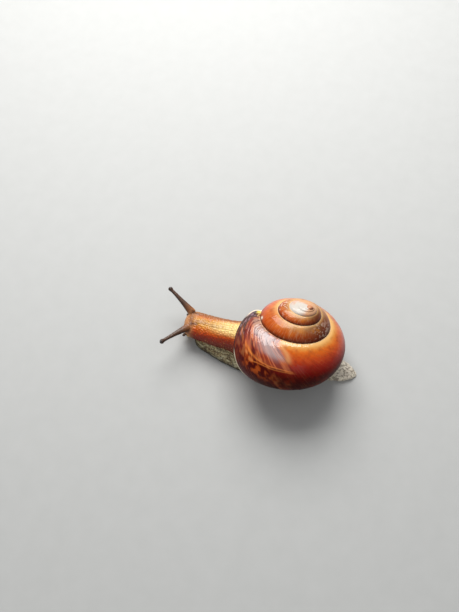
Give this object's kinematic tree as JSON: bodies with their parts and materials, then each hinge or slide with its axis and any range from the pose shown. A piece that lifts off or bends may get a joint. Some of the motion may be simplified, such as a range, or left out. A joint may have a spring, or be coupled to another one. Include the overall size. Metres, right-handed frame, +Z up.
{
  "type": "land snail",
  "caption": "Life-size crawling land snail with a glossy brown coiled shell, a long flat-soled foot, and its eye-tipped feelers stretched out.",
  "frame": {"origin": "middle of the snail's box in plan, on the ground under its sole", "axes": "+Z up, -Y the way the snail faces, +X its left side"},
  "size_m": [0.0228, 0.0462, 0.017],
  "materials": {
    "shell_horn": "glossy orange-brown to dark maroon shell with darker patches and fine growth lines",
    "flesh": "moist, warty cream to orange-brown skin of head, neck and trunk",
    "foot_skin": "moist, finely grained pale grey-beige skin of the foot and tail",
    "feeler_skin": "moist dark grey-brown skin of the feelers",
    "eye": "glossy black"
  },
  "bodies": {
    "root": {"eye_left": "eye", "eye_right": "eye", "foot_front": "foot_skin", "foot_middle": "foot_skin", "head": "flesh", "lips": "flesh", "lower_feeler_left": "feeler_skin", "lower_feeler_right": "feeler_skin", "mantle_collar": "flesh", "neck": "flesh", "shell": "shell_horn", "tail": "foot_skin", "trunk": "flesh", "upper_feeler_left_base": "feeler_skin", "upper_feeler_left_bulb": "feeler_skin", "upper_feeler_left_shaft": "feeler_skin", "upper_feeler_right_base": "feeler_skin", "upper_feeler_right_bulb": "feeler_skin", "upper_feeler_right_shaft": "feeler_skin"}
  },
  "joints": []
}
